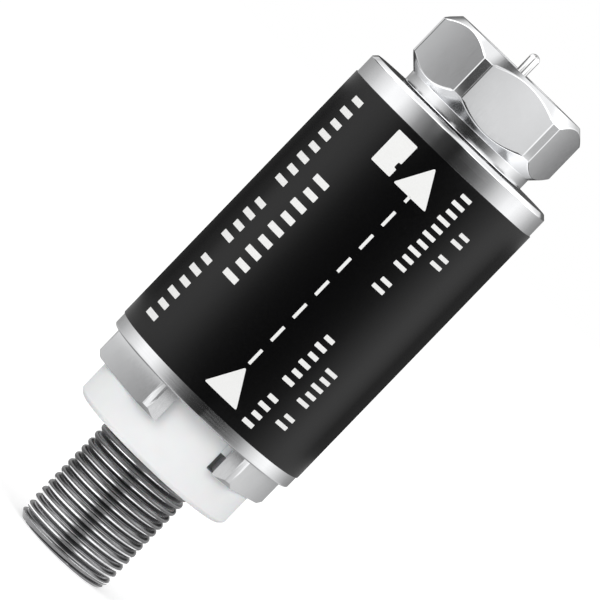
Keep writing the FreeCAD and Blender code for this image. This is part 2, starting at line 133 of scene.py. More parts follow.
class IsolatorSizes(bpy.types.PropertyGroup):
    """Sizes of what the solids leave out."""

    pitch: length_setting("Thread pitch", "From one turn of the thread to the next", 0.00079375)
    thread_depth: length_setting("Thread depth", "From the crest to the root of the port's thread", 0.00036)
    thread_fullness: bpy.props.FloatProperty(
        name="Thread fullness", description="Above 1, rounder crests and sharper roots", default=2.4, min=1.0
    )
    port_bevel: length_setting("Port bevel", "Height over which the port's thread starts", 0.00045)
    thread_end: length_setting("Thread run-out", "Height over which it ends at the bush", 0.00012)
    nut_thread_depth: length_setting("Nut thread depth", "From the bore to the crest of its thread", 0.0004)
    nut_edge: length_setting("Nut edge", "How far the nut's edges are rounded off", 0.00004)
    cap_edge: length_setting("Cap edge", "Width of the soft edge on the slotted cap", 0.00007)
    bush_edge: length_setting("Bush edge", "Width of the moulded edge on the white bush", 0.00009)
    lug_lift: length_setting("Lug lift", "How much nearer to the housing the bush's lugs end", 0.0007)
    film_edge: length_setting("Film edge", "Rounding of the label's cut edge", 0.00003)
    ink_height: length_setting("Ink height", "How far the print stands off the label", 0.000012)


class IsolatorColours(bpy.types.PropertyGroup):
    """Base colours of the finishes."""

    nickel: colour_setting("Nickel", "Plate on the housing, the cap and the nut", (0.77, 0.775, 0.785))
    port: colour_setting("Port nickel", "Plate on the rolled thread", (0.3, 0.3, 0.305))
    pin: colour_setting("Pin", "Wire of the plug's pin", (0.7, 0.7, 0.7))
    film: colour_setting("Label film", "Film round the housing", (0.003, 0.003, 0.0032))
    ink: colour_setting("Ink", "Print on the label", (0.86, 0.86, 0.85))
    plastic: colour_setting("White plastic", "Bush and dielectrics", (0.87, 0.878, 0.885))
    brass: colour_setting("Brass", "Contact, nuts and tube inside", (0.78, 0.58, 0.27))
    fibre: colour_setting("Fibre", "Cup that insulates the port inside", (0.62, 0.55, 0.4))
    ferrite: colour_setting("Ferrite", "Sleeve on the inner tube", (0.055, 0.056, 0.06))
    board: colour_setting("Board", "Solder mask of the circuit board", (0.02, 0.16, 0.06))
    capacitor: colour_setting("Capacitor", "Fired body of the capacitors", (0.46, 0.33, 0.2))
    resistor: colour_setting("Resistor", "Glazed body of the resistor", (0.03, 0.03, 0.032))
    tin: colour_setting("Tinned ends", "Ends of the chips", (0.7, 0.7, 0.69))


class IsolatorStage(bpy.types.PropertyGroup):
    """Camera and light."""

    camera_distance: length_setting("Camera distance", "From the axis to the camera, on the level", 0.458)
    camera_height: length_setting("Camera height", "Height of the camera above the port's end", 0.059)
    aim_height: length_setting("Aim height", "Height of the point at the picture's centre", 0.0286)
    aim_side: length_setting("Aim side", "How far left of the axis the camera stands and aims", 0.000135)
    camera_roll: angle_setting("Camera roll", "Turn of the camera about its own line of sight", 43.95)


def sizes():
    return bpy.context.scene.isolator_sizes


def colours():
    return bpy.context.scene.isolator_colours


# Node trees

# The kind of a socket whose default is of this kind
SOCKET_KINDS = {float: "Float", int: "Int", tuple: "Vector"}


def new_tree(name, kind, inputs, outputs):
    """An empty tree with named sockets, each given by its default or, where it has none, by its kind."""
    tree = bpy.data.node_groups.new(name, kind + "NodeTree")
    for direction, sockets in (("INPUT", inputs), ("OUTPUT", outputs)):
        for label, default in sockets.items():
            bare = isinstance(default, str)
            sort = "NodeSocket" + (default if bare else SOCKET_KINDS[type(default)])
            socket = tree.interface.new_socket(name=label, in_out=direction, socket_type=sort)
            if not bare:
                socket.default_value = default
    return Wiring(tree), tree.nodes.new("NodeGroupInput").outputs


def geometry_tree(name, inputs):
    """An empty tree of geometry with these inputs and a material."""
    through = {"Geometry": "Geometry"}
    return new_tree(name, "Geometry", {**through, **inputs, "Material": "Material"}, through)


def pattern_group(name, inputs):
    """An empty group that gives a mask and a height."""
    return new_tree(name, "Shader", inputs, {"Mask": "Float", "Height": "Float"})


def shared(name, maker):
    """The node group of that name, made only once."""
    return bpy.data.node_groups.get(name) or maker()


class Wiring:
    """Short ways to place and join the nodes of one tree."""

    def __init__(self, tree):
        self.tree = tree

    def node(self, kind, settings=None, **inputs):
        made = self.tree.nodes.new(kind)
        for name, value in (settings or {}).items():
            setattr(made, name, value)
        for name, value in inputs.items():
            self.feed(made.inputs[name.replace("_", " ")], value)
        return made

    def feed(self, socket, value):
        if isinstance(value, bpy.types.NodeSocket):
            self.tree.links.new(value, socket)
        elif value is not None:
            socket.default_value = value

    def sum(self, operation, *terms, kind="ShaderNodeMath", result=0):
        made = self.node(kind, {"operation": operation})
        for socket, value in zip(made.inputs, terms):
            self.feed(socket, value)
        return made.outputs[result]

    def product(self, *vectors):
        return self.sum("MULTIPLY", *vectors, kind="ShaderNodeVectorMath")

    def length(self, vector):
        return self.sum("LENGTH", vector, kind="ShaderNodeVectorMath", result="Value")

    def between(self, value, low, high, new_low=0.0, new_high=1.0, smooth=False):
        settings = {"interpolation_type": "SMOOTHSTEP" if smooth else "LINEAR"}
        ends = {"From_Min": low, "From_Max": high, "To_Min": new_low, "To_Max": new_high}
        return self.node("ShaderNodeMapRange", settings, Value=value, **ends).outputs["Result"]

    def here(self):
        """The point on Object coordinates."""
        return self.node("ShaderNodeTexCoord").outputs["Object"]

    def apart(self, vector):
        return self.node("ShaderNodeSeparateXYZ", Vector=vector).outputs

    def together(self, x, y, z=0.0):
        return self.node("ShaderNodeCombineXYZ", X=x, Y=y, Z=z).outputs[0]

    def from_axis(self, place):
        return self.length(self.together(place["X"], place["Y"]))

    def give(self, **values):
        """Feeds the tree's own outputs."""
        out = self.tree.nodes.new("NodeGroupOutput")
        for name, value in values.items():
            self.feed(out.inputs[name], value)

    def give_faces(self, geometry, material):
        """Ends a tree of geometry in real faces of one material."""
        real = self.node("GeometryNodeRealizeInstances", Geometry=geometry).outputs[0]
        self.give(Geometry=self.node("GeometryNodeSetMaterial", Geometry=real, Material=material).outputs[0])


def grown(tree, inputs):
    """The mesh that a tree of nodes gives for these inputs."""
    carrier = bpy.data.objects.new("carrier", bpy.data.meshes.new("carrier"))
    bpy.context.scene.collection.objects.link(carrier)
    modifier = carrier.modifiers.new("shape", "NODES")
    modifier.node_group = tree
    for item in tree.interface.items_tree:
        if item.item_type == "SOCKET" and item.in_out == "INPUT" and item.name in inputs:
            modifier[item.identifier] = inputs[item.name]
    graph = bpy.context.evaluated_depsgraph_get()
    graph.update()
    plain = bpy.data.meshes.new_from_object(carrier.evaluated_get(graph))
    carrier.modifiers.remove(modifier)
    bpy.data.objects.remove(carrier)
    mesh = bmesh.new()
    mesh.from_mesh(plain)
    bpy.data.meshes.remove(plain)
    return mesh


# Threads, made by a tree of nodes


def helical_thread_tree():
    """A band of thread round the axis: a grid whose rows follow the helix, cut off square at both ends."""
    inputs = {"Crest Radius": 0.0047, "Root Radius": 0.0042, "Pitch": 0.0008, "Bottom": 0.0, "Top": 0.01}
    inputs |= {"Bottom Bevel": 0.0005, "Top Bevel": 0.0001, "Fullness": 2.0}
    inputs |= {"Columns": THREAD_COLUMNS, "Rows": 2, "Rows per Turn": THREAD_ROWS}
    wire, given = geometry_tree("Helical thread", inputs)
    counts = {"Vertices_X": wire.sum("ADD", given["Columns"], 1), "Vertices_Y": given["Rows"]}
    grid = wire.node("GeometryNodeMeshGrid", Size_X=1.0, Size_Y=1.0, **counts)
    place = wire.apart(wire.node("GeometryNodeInputPosition").outputs[0])
    across = wire.sum("ADD", place["X"], 0.5)
    column = wire.sum("ROUND", wire.sum("MULTIPLY", across, given["Columns"]))
    turn = wire.sum("DIVIDE", column, given["Columns"])
    up = wire.sum("ADD", place["Y"], 0.5)
    row = wire.sum("ROUND", wire.sum("MULTIPLY", up, wire.sum("SUBTRACT", given["Rows"], 1)))
    climb = wire.sum("SUBTRACT", wire.sum("ADD", wire.sum("DIVIDE", row, given["Rows per Turn"]), turn), 1.0)
    free = wire.sum("MULTIPLY_ADD", climb, given["Pitch"], given["Bottom"])
    height = wire.sum("MINIMUM", wire.sum("MAXIMUM", free, given["Bottom"]), given["Top"])
    above = wire.sum("SUBTRACT", height, given["Bottom"])
    below = wire.sum("SUBTRACT", given["Top"], height)
    phase = wire.sum("FRACT", wire.sum("SUBTRACT", wire.sum("DIVIDE", above, given["Pitch"]), turn))
    slope = wire.sum("ABSOLUTE", wire.sum("MULTIPLY_ADD", phase, 2.0, -1.0))
    hollow = wire.sum("POWER", wire.sum("SUBTRACT", 1.0, slope), given["Fullness"])
    form = wire.sum("SUBTRACT", 1.0, hollow)
    start = wire.sum("DIVIDE", above, given["Bottom Bevel"])
    end = wire.sum("DIVIDE", below, given["Top Bevel"])
    form = wire.sum("MINIMUM", form, wire.sum("MINIMUM", start, end))
    depth = wire.sum("SUBTRACT", given["Crest Radius"], given["Root Radius"])
    radius = wire.sum("MULTIPLY_ADD", form, depth, given["Root Radius"])
    angle = wire.sum("MULTIPLY", turn, FULL_TURN)
    along, aside = (wire.sum("MULTIPLY", radius, wire.sum(part, angle)) for part in ("COSINE", "SINE"))
    corner = wire.together(along, aside, height)
    placed = wire.node("GeometryNodeSetPosition", Geometry=grid.outputs["Mesh"], Position=corner)
    merged = wire.node("GeometryNodeMergeByDistance", Geometry=placed.outputs[0], Distance=SAME_PLACE)
    wire.give_faces(merged.outputs[0], given["Material"])
    return wire.tree


def thread_band(crest, root, bottom, top, bevels, finish):
    """A band of thread between two heights. It starts and ends on plain circles of the root's radius."""
    pitch = sizes().pitch
    rows = math.ceil((top - bottom) / pitch * THREAD_ROWS) + THREAD_ROWS + 1
    inputs = {"Crest Radius": crest, "Root Radius": root, "Pitch": pitch, "Bottom": bottom, "Top": top}
    inputs |= {"Bottom Bevel": bevels[0], "Top Bevel": bevels[1], "Fullness": sizes().thread_fullness}
    inputs |= {"Columns": THREAD_COLUMNS, "Rows": rows, "Rows per Turn": THREAD_ROWS, "Material": finish}
    return grown(shared("Helical thread", helical_thread_tree), inputs)


# Turned and milled pieces


def rounded_corners(corners, steps=5):
    """The outline through (radius, height, rounding in millimetres) corners, with an arc at each."""
    outline = []
    count = len(corners)
    for order, (radius, height, rounding) in enumerate(corners):
        here = Vector((radius, height))
        if not rounding:
            outline.append(here)
            continue
        before = Vector(corners[order - 1][:2]) - here
        after = Vector(corners[(order + 1) % count][:2]) - here
        reach = rounding * MM / math.tan(before.angle(after) / 2)
        reach = min(reach, before.length * 0.49, after.length * 0.49)
        start, end = here + before.normalized() * reach, here + after.normalized() * reach
        for step in range(steps + 1):
            share = step / steps
            near_start, near_end = start.lerp(here, share), here.lerp(end, share)
            outline.append(near_start.lerp(near_end, share))
    return outline


def split_outline(outline, spans):
    """The outline with its sides cut up between two heights: (low, high, longest side)."""
    finer = []
    for here, following in zip(outline, outline[1:] + outline[:1]):
        finer.append(here)
        middle = (here.y + following.y) / 2
        for low, high, longest in spans:
            if low < middle < high:
                parts = math.ceil((following - here).length / longest)
                finer += [here.lerp(following, part / parts) for part in range(1, parts)]
                break
    return finer


def revolved(outline, angles, limit=None, closed=True):
    """A mesh from an outline of (radius, height) turned through the angles, each radius held to a limit."""
    mesh = bmesh.new()
    rings = []
    for point in outline:
        ring = []
        for angle in angles:
            radius = limit(point.x, angle) if limit else point.x
            ring.append(mesh.verts.new((radius * math.cos(angle), radius * math.sin(angle), point.y)))
        rings.append(ring)
    pairs = list(zip(rings, rings[1:] + rings[:1]))
    for lower, upper in pairs if closed else pairs[:-1]:
        for column in range(len(angles)):
            following = (column + 1) % len(angles)
            mesh.faces.new((lower[column], lower[following], upper[following], upper[column]))
    return mesh


def even_angles(columns):
    return [FULL_TURN * column / columns for column in range(columns)]


def lathe(corners, columns=TURNED_COLUMNS, closed=True):
    """A turned mesh from (radius, height, rounding) corners."""
    return revolved(rounded_corners(corners), even_angles(columns), closed=closed)


def joined(mesh, other):
    """Two meshes as one. The other is used up."""
    plain = bpy.data.meshes.new("part")
    other.to_mesh(plain)
    other.free()
    mesh.from_mesh(plain)
    bpy.data.meshes.remove(plain)
    return mesh


def as_object(name, mesh, *materials):
    """A new object in the scene from a bmesh, which is used up."""
    plain = bpy.data.meshes.new(name)
    mesh.to_mesh(plain)
    mesh.free()
    for finish in materials:
        plain.materials.append(finish)
    made = bpy.data.objects.new(name, plain)
    bpy.context.scene.collection.objects.link(made)
    return made


def piece(name, mesh, finish, slot, *nodes, body=FIXED, sharp=40, flat_faces=True):
    """Closes the mesh, turns its faces outwards, and makes it a piece that rides on a body."""
    bmesh.ops.remove_doubles(mesh, verts=mesh.verts, dist=SAME_PLACE)
    bmesh.ops.dissolve_degenerate(mesh, edges=mesh.edges, dist=SAME_PLACE)
    bmesh.ops.recalc_face_normals(mesh, faces=mesh.faces)
    for edge in mesh.edges:
        edge.smooth = len(edge.link_faces) == 2 and edge.calc_face_angle(0) < math.radians(sharp)
    for face in mesh.faces:
        face.smooth = True
    made = as_object(name, mesh, finish)
    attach(made, body)
    if nodes:
        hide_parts(*nodes)
    if flat_faces:
        modifier = made.modifiers.new("flat faces", "WEIGHTED_NORMAL")
        modifier.keep_sharp = True
        modifier.weight = 80


def softened(node, width, angle=25):
    """A merged copy of a node's own mesh with its edges past that angle rounded off."""
    mesh = bmesh.new()
    mesh.from_mesh(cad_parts[node].data)
    bmesh.ops.remove_doubles(mesh, verts=mesh.verts, dist=SAME_PLACE)
    limit = {"angle_limit": math.radians(0.5), "delimit": {"NORMAL"}}
    bmesh.ops.dissolve_limit(mesh, verts=mesh.verts, edges=mesh.edges, **limit)
    sharp = [edge for edge in mesh.edges if edge.calc_face_angle(0) > math.radians(angle)]
    form = {"segments": 3, "profile": 0.5, "clamp_overlap": True, "miter_outer": "ARC"}
    bmesh.ops.bevel(mesh, geom=sharp, offset=width, offset_type="OFFSET", affect="EDGES", **form)
    return mesh


# Finishes


def give_noise(wire, vector, scale, detail, low, high):
    """Ends a group in noise: plain as a height, and drawn out between low and high as a mask."""
    noise = wire.node("ShaderNodeTexNoise", Vector=vector, Scale=scale, Detail=detail).outputs["Fac"]
    wire.give(Mask=wire.between(noise, low, high), Height=noise)
    return wire.tree


def grain_group():
    """Fine uneven grain, in millimetre scales."""
    wire, given = pattern_group("Fine grain", {"Scale": 6.0, "Stretch": (1.0, 1.0, 1.0), "Detail": 3.0})
    large = wire.product(wire.product(wire.here(), given["Stretch"]), (1 / MM, 1 / MM, 1 / MM))
    return give_noise(wire, large, given["Scale"], given["Detail"], 0.3, 0.7)


def lathe_marks_group():
    """Fine rings that a lathe leaves round the axis, and fainter ones on faces across it."""
    wire, given = pattern_group("Lathe marks", {"Rings per Millimetre": 9.0})
    place = wire.apart(wire.here())
    track = wire.together(wire.sum("DIVIDE", place["Z"], MM), wire.sum("DIVIDE", wire.from_axis(place), MM))
    return give_noise(wire, track, given["Rings per Millimetre"], 2.0, 0.35, 0.65)


class Finish:
    """One procedural material under way: its shader, and short ways to give it pattern."""

    def __init__(self, name, **constants):
        self.material = bpy.data.materials.new(name)
        self.material.use_nodes = True
        self.wire = Wiring(self.material.node_tree)
        self.shader = self.material.node_tree.nodes["Principled BSDF"]
        for key, value in constants.items():
            self.shader.inputs[key.replace("_", " ")].default_value = value

    def group(self, tree, **inputs):
        return self.wire.node("ShaderNodeGroup", {"node_tree": tree}, **inputs).outputs

    def grain(self, scale, stretch=(1.0, 1.0, 1.0), detail=3.0):
        return self.group(shared("Fine grain", grain_group), Scale=scale, Stretch=stretch, Detail=detail)

    def rings(self, per_millimetre):
        return self.group(shared("Lathe marks", lathe_marks_group), Rings_per_Millimetre=per_millimetre)

    def colour(self, light, dark, mask):
        """Base colour between two colours, by a mask."""
        mix = self.wire.node("ShaderNodeMix", {"data_type": "RGBA"})
        for socket, value in ((0, mask), (6, (*dark, 1.0)), (7, (*light, 1.0))):
            self.wire.feed(mix.inputs[socket], value)
        self.wire.feed(self.shader.inputs["Base Color"], mix.outputs[2])

    def bump(self, *layers):
        """Relief from (height, depth in metres) layers."""
        normal = None
        for height, depth in layers:
            relief = {"Height": height, "Distance": depth, "Normal": normal, "Strength": 1.0}
            normal = self.wire.node("ShaderNodeBump", **relief).outputs["Normal"]
        self.wire.feed(self.shader.inputs["Normal"], normal)

    def surface(self, rough, depth, pattern):
        """Roughness and relief by one pattern, or no relief where the depth is 0."""
        by_mask = self.wire.between(pattern["Mask"], 0.0, 1.0, *rough)
        self.wire.feed(self.shader.inputs["Roughness"], by_mask)
        if depth:
            self.bump((pattern["Height"], depth))
        return self.material

    def covered(self, colour, share, rough, depth, pattern, tint=None):
        """A surface whose colour goes down to a share of itself, by the same pattern or by a tint."""
        tint = pattern if tint is None else tint
        self.colour(colour, tuple(channel * share for channel in colour), tint["Mask"])
        return self.surface(rough, depth, pattern)


def material(maker):
    """The material that a maker's function gives, made only once."""
    return bpy.data.materials.get(maker.__name__) or maker()


def turned_nickel():
    """Bright nickel plate over a turned surface."""
    finish = Finish("turned_nickel", Metallic=1.0)
    rings, haze = finish.rings(11.0), finish.grain(0.35)
    return finish.covered(colours().nickel, 0.96, (0.08, 0.12), 0.2e-6, rings, haze)


def milled_nickel():
    """Nickel plate over polished flats, with a faint even grain."""
    finish = Finish("milled_nickel", Metallic=1.0)
    grain = finish.grain(6.0, (1.0, 1.0, 0.35))
    return finish.covered(colours().nickel, 0.96, (0.1, 0.14), 0.15e-6, grain, finish.grain(0.5))


def rolled_nickel():
    """Duller plate over a rolled thread."""
    finish = Finish("rolled_nickel", Metallic=1.0)
    return finish.covered(colours().port, 0.8, (0.13, 0.2), 0.5e-6, finish.grain(7.0))


def pin_wire():
    """Drawn wire, with fine lines along it."""
    finish = Finish("pin_wire", Metallic=1.0)
    return finish.covered(colours().pin, 0.9, (0.1, 0.15), 0.15e-6, finish.grain(14.0, (1.0, 1.0, 0.06)))


def label_film():
    """Semi-gloss black film: a faint ripple, and fine dust in its gloss."""
    finish = Finish("label_film", IOR=1.34)
    finish.covered(colours().film, 0.8, (0.18, 0.24), 0.0, finish.grain(5.0))
    finish.bump((finish.grain(0.4)["Height"], 4e-6), (finish.grain(16.0)["Height"], 0.4e-6))
    return finish.material


def print_ink():
    """Screen-printed white, a little matte."""
    finish = Finish("print_ink", IOR=1.45)
    return finish.covered(colours().ink, 0.95, (0.45, 0.55), 1e-6, finish.grain(12.0))


def moulded_plastic():
    """Smooth moulded plastic that lets a little light in."""
    finish = Finish("moulded_plastic", IOR=1.46, Subsurface_Weight=0.15, Subsurface_Scale=0.0006)
    return finish.covered(colours().plastic, 0.97, (0.36, 0.46), 1.5e-6, finish.grain(3.0), finish.grain(0.5))


def natural_plastic():
    """The inner lead's insulation: natural plastic, slightly cloudy."""
    finish = Finish("natural_plastic", IOR=1.5)
    cloud = finish.grain(1.2)
    finish.colour(colours().plastic, (0.72, 0.7, 0.62), cloud["Mask"])
    return finish.surface((0.3, 0.42), 1e-6, cloud)


def satin_brass():
    """Bare turned brass."""
    finish = Finish("satin_brass", Metallic=1.0)
    return finish.covered(colours().brass, 0.82, (0.24, 0.36), 0.8e-6, finish.rings(8.0), finish.grain(1.0))


def pressed_fibre():
    """Pressed fibre, with short pale threads in it."""
    finish = Finish("pressed_fibre", IOR=1.45)
    return finish.covered(colours().fibre, 0.7, (0.7, 0.85), 8e-6, finish.grain(4.0, (1.0, 1.0, 0.2), 5.0))


def ground_ferrite():
    """Ground grey-black ceramic."""
    finish = Finish("ground_ferrite", IOR=1.9)
    return finish.covered(colours().ferrite, 0.7, (0.5, 0.7), 4e-6, finish.grain(8.0))


def solder_mask():
    """Board laminate under a green mask, with the weave just showing."""
    finish = Finish("solder_mask", IOR=1.5)
    warp, weft = finish.grain(3.0, (1.0, 0.1, 1.0)), finish.grain(3.0, (0.1, 1.0, 1.0))
    weave = finish.wire.sum("MULTIPLY", warp["Mask"], weft["Mask"])
    return finish.covered(colours().board, 0.6, (0.22, 0.35), 2e-6, {"Mask": weave, "Height": weave})


def chip_finish(name, colour, upright, low, high):
    """A fired chip with tinned ends. Its body lies between low and high: upright, or from the axis."""
    finish = Finish(name, IOR=1.6)
    wire = finish.wire
    place = wire.apart(wire.here())
    track = place["Z"] if upright else wire.from_axis(place)
    inside = wire.sum("MULTIPLY", wire.sum("GREATER_THAN", track, low), wire.sum("LESS_THAN", track, high))
    finish.colour(colour, colours().tin, inside)
    wire.feed(finish.shader.inputs["Metallic"], wire.between(inside, 0.0, 1.0, 1.0, 0.0))
    return finish.surface((0.3, 0.5), 3e-6, finish.grain(10.0))


# The pieces


def port_outline():
    """The barrel away from its thread: from its upper end over the shank and the bore to its lower end."""
    crest = radius_of("port_barrel")
    root = crest - sizes().thread_depth
    shank, bore, lip = crest - PORT_SHANK, crest - PORT_BORE, crest - PORT_LIP
    bush_foot, lip_top, top = foot_of("isolator_bush"), foot_of("port_dielectric"), top_of("port_barrel")
    edge = 0.06
    return root, (
        (root, bush_foot, 0),
        (shank, bush_foot, 0),
        (shank, top, edge),
        (bore, top, edge),
        (bore, lip_top, 0),
        (lip, lip_top, edge),
        (lip, 0.0, 0.12),
        (root, 0.0, 0),
    )


class ISOLATOR_OT_port(bpy.types.Operator):
    """Threaded port with its true helical thread"""

    bl_idname = "isolator.port"
    bl_label = "Threaded port"

    def execute(self, context):
        finish = material(rolled_nickel)
        root, corners = port_outline()
        bevels = sizes().port_bevel, sizes().thread_end
        thread = thread_band(radius_of("port_barrel"), root, 0.0, foot_of("isolator_bush"), bevels, finish)
        rest = lathe(corners, THREAD_COLUMNS, closed=False)
        piece("threaded_port", joined(thread, rest), finish, "port_nickel", "port_barrel", flat_faces=False)
        return {"FINISHED"}


def lug_head(mesh, azimuth, top):
    """A head at the top of a lug, which closes the upper end of the gap between the lug and its slot."""
    turn = Matrix.Rotation(azimuth, 4, "Z")
    width, depth, height = HEAD_SIZE
    middle = turn @ Vector((HEAD_ASIDE, -HEAD_OUT, top - height / 2))
    place = Matrix.Translation(middle) @ turn @ Matrix.Diagonal((width, depth, height, 1))
    bmesh.ops.create_cube(mesh, size=1.0, matrix=place)


class ISOLATOR_OT_bush(bpy.types.Operator):
    """White insulating bush, its moulded edges softened"""

    bl_idname = "isolator.bush"
    bl_label = "Insulating bush"

    def execute(self, context):
        mesh = softened("isolator_bush", sizes().bush_edge, 30)
        low, high = foot_of("end_cap") + MM, top_of("isolator_bush") - MM
        reach = radius_of("isolator_bush") * 0.8
        for vertex in mesh.verts:
            if low < vertex.co.z < high and vertex.co.xy.length > reach:
                vertex.co.z += sizes().lug_lift
        for side in range(3):
            lug_head(mesh, math.radians(CAP_TURN + 120 * side), foot_of("housing") - HEAD_GAP)
        finish = material(moulded_plastic)
        piece("white_bush", mesh, finish, "white_plastic", "isolator_bush")
        return {"FINISHED"}


class ISOLATOR_OT_cap(bpy.types.Operator):
    """Slotted six-sided cap with broken edges"""

    bl_idname = "isolator.cap"
    bl_label = "Slotted cap"

    def execute(self, context):
        mesh = softened("end_cap", sizes().cap_edge, 20)
        piece("slotted_cap", mesh, material(milled_nickel), "nickel", "end_cap")
        return {"FINISHED"}


class ISOLATOR_OT_housing(bpy.types.Operator):
    """Turned housing with its front wall"""

    bl_idname = "isolator.housing"
    bl_label = "Housing"

    def execute(self, context):
        outer, (bottom, top) = radius_of("housing"), ends_of("housing")
        bore, wall = outer - SHELL_WALL, top - FRONT_WALL
        corners = (
            (bore, bottom, 0.1),
            (outer, bottom, 0.14),
            (outer, top - HOUSING_BEVEL, 0.12),
            (outer - HOUSING_BEVEL, top, 0.12),
            (POST_HOLE, top, 0.05),
            (POST_HOLE, wall, 0.05),
            (bore, wall, 0.2),
        )
        finish = material(turned_nickel)
        piece("turned_housing", lathe(corners), finish, "nickel", "housing")
        return {"FINISHED"}


class ISOLATOR_OT_label(bpy.types.Operator):
    """Black film round the housing"""

    bl_idname = "isolator.label"
    bl_label = "Label film"

    def execute(self, context):
        outer, inner, edge = radius_of("label_sleeve"), radius_of("housing"), sizes().film_edge / MM
        bottom, top = ends_of("label_sleeve")
        mesh = lathe(((inner, bottom, 0), (outer, bottom, edge), (outer, top, edge), (inner, top, 0)))
        piece("label_film", mesh, material(label_film), "black_label", "label_sleeve")
        return {"FINISHED"}


# Print on the label: (azimuth in degrees, height in millimetres) corners. Azimuth 0 is the front, and it
# grows to the viewer's right.
ARROW_HEADS = (
    ((-7.8, 41.27), (12.9, 41.27), (2.4, 44.4)),
    ((-7.0, 19.26), (13.7, 19.26), (3.1, 22.34)),
)
ARROW_DASHES = ((40.73, 41.37), *[(38.11 - 2.566 * dash, 39.64 - 2.566 * dash) for dash in range(7)])
DASH_AZIMUTH = 2.7
DASH_WIDTH = 1.6
BLOCK = (
    *((-23.3, 41.33), (-10.7, 41.33), (-10.7, 42.15), (-12.3, 42.15)),
    *((-12.3, 42.7), (-10.7, 42.7), (-10.7, 44.62), (-23.3, 44.62)),
)
# Rows of plain blocks: (from azimuth, to azimuth, low, high, blocks in each group)
LINES = (
    (-59.4, -49.0, 19.2, 44.4, (6, 4, 8)),
    (-39.0, -29.0, 26.0, 37.8, (9,)),
    (18.8, 26.2, 33.8, 44.7, (2, 10)),
    (32.6, 40.2, 38.3, 42.3, (2, 2)),
    (18.9, 25.5, 18.7, 29.0, (4, 6)),
    (32.3, 40.0, 20.4, 27.0, (2, 5)),
)
# Share of each step that a block fills, and the heights of blocks in turn as shares of the row
BLOCK_SHARE = 0.45
BLOCK_HEIGHTS = (1.0, 0.86)
# The print bends in strips: how far round it reaches each way, in degrees, and the strips each way
PRINT_REACH, PRINT_STRIPS = 70, 70


def label_point(azimuth, height):
    """A place on the unrolled label, in metres."""
    return radius_of("label_sleeve") * math.radians(azimuth), height * MM


def flat_outline(corners, rounding):
    """Rounded outline on the unrolled label, from (azimuth, height) corners."""
    return rounded_corners([(*label_point(*corner), rounding) for corner in corners], 3)


def box_corners(left, right, low, high):
    return (left, low), (right, low), (right, high), (left, high)


def print_shapes():
    """Every mark of the print, as flat outlines on the unrolled label."""
    for head in ARROW_HEADS:
        yield flat_outline(head, 0.12)
    for low, high in ARROW_DASHES:
        half = DASH_WIDTH / 2
        yield flat_outline(box_corners(DASH_AZIMUTH - half, DASH_AZIMUTH + half, low, high), 0.03)
    yield flat_outline(BLOCK, 0.1)
    for left, right, low, high, groups in LINES:
        step = (high - low) / (sum(groups) + len(groups) - 1)
        count, height = 0, low
        for group in groups:
            for _ in range(group):
                reach = (right - left) * BLOCK_HEIGHTS[count % len(BLOCK_HEIGHTS)]
                ends = height + step * (1 - BLOCK_SHARE) / 2, height + step * (1 + BLOCK_SHARE) / 2
                yield flat_outline(box_corners(right - reach, right, *ends), 0.06)
                count, height = count + 1, height + step
            height += step


def wrap_tree():
    """Rolls flat shapes round the axis: X becomes the turn, Z the height, and Y how far a face stands off."""
    inputs = {"Shapes": "Object", "Radius": 0.00985, "Ink Height": 0.00001}
    wire, given = geometry_tree("Wrap round the housing", inputs)
    shapes = wire.node("GeometryNodeObjectInfo", Object=given["Shapes"]).outputs["Geometry"]
    place = wire.apart(wire.node("GeometryNodeInputPosition").outputs[0])
    turn = wire.sum("DIVIDE", place["X"], given["Radius"])
    radius = wire.sum("MULTIPLY_ADD", place["Y"], given["Ink Height"], given["Radius"])
    along, ahead = (wire.sum("MULTIPLY", radius, wire.sum(part, turn)) for part in ("SINE", "COSINE"))
    corner = wire.together(along, wire.sum("MULTIPLY", ahead, -1.0), place["Z"])
    placed = wire.node("GeometryNodeSetPosition", Geometry=shapes, Position=corner)
    wire.give_faces(placed.outputs[0], given["Material"])
    return wire.tree


def flat_prints():
    """The marks as thin closed plates on the unrolled label, cut into strips so that they can bend."""
    mesh = bmesh.new()
    for outline in print_shapes():
        face = mesh.faces.new([mesh.verts.new((point.x, -1.0, point.y)) for point in outline])
        for item in bmesh.ops.extrude_face_region(mesh, geom=[face], use_keep_orig=True)["geom"]:
            if isinstance(item, bmesh.types.BMVert):
                item.co.y = 1.0
    reach = radius_of("label_sleeve") * math.radians(PRINT_REACH)
    for strip in range(-PRINT_STRIPS, PRINT_STRIPS + 1):
        bmesh.ops.bisect_plane(
            mesh,
            geom=[*mesh.verts, *mesh.edges, *mesh.faces],
            plane_co=(reach * strip / PRINT_STRIPS, 0, 0),
            plane_no=(1, 0, 0),
            dist=1e-8,
        )
    return mesh


class ISOLATOR_OT_print(bpy.types.Operator):
    """Plain print on the label: arrow heads, dashes, a block and rows of bars"""

    bl_idname = "isolator.label_print"
    bl_label = "Label print"

    def execute(self, context):
        finish, shapes = material(print_ink), as_object("flat_prints", flat_prints())
        inputs = {"Shapes": shapes, "Radius": radius_of("label_sleeve"), "Ink Height": sizes().ink_height}
        wrapped = grown(wrap_tree(), {**inputs, "Material": finish})
        bpy.data.objects.remove(shapes)
        piece("label_print", wrapped, finish, "black_label", sharp=30, flat_faces=False)
        return {"FINISHED"}


def nut_limit(edge):
    """Holds a radius inside the nut's hexagon, whose edges are rounded."""
    side = FULL_TURN / 6

    def limit(radius, angle):
        off = (angle + math.pi / 2 - NUT_TURN + side / 2) % side - side / 2
        flat = NUT_FLAT / math.cos(off)
        blend = min(max(0.5 + 0.5 * (flat - radius) / edge, 0.0), 1.0)
        return flat + (radius - flat) * blend - edge * blend * (1.0 - blend)

    return limit


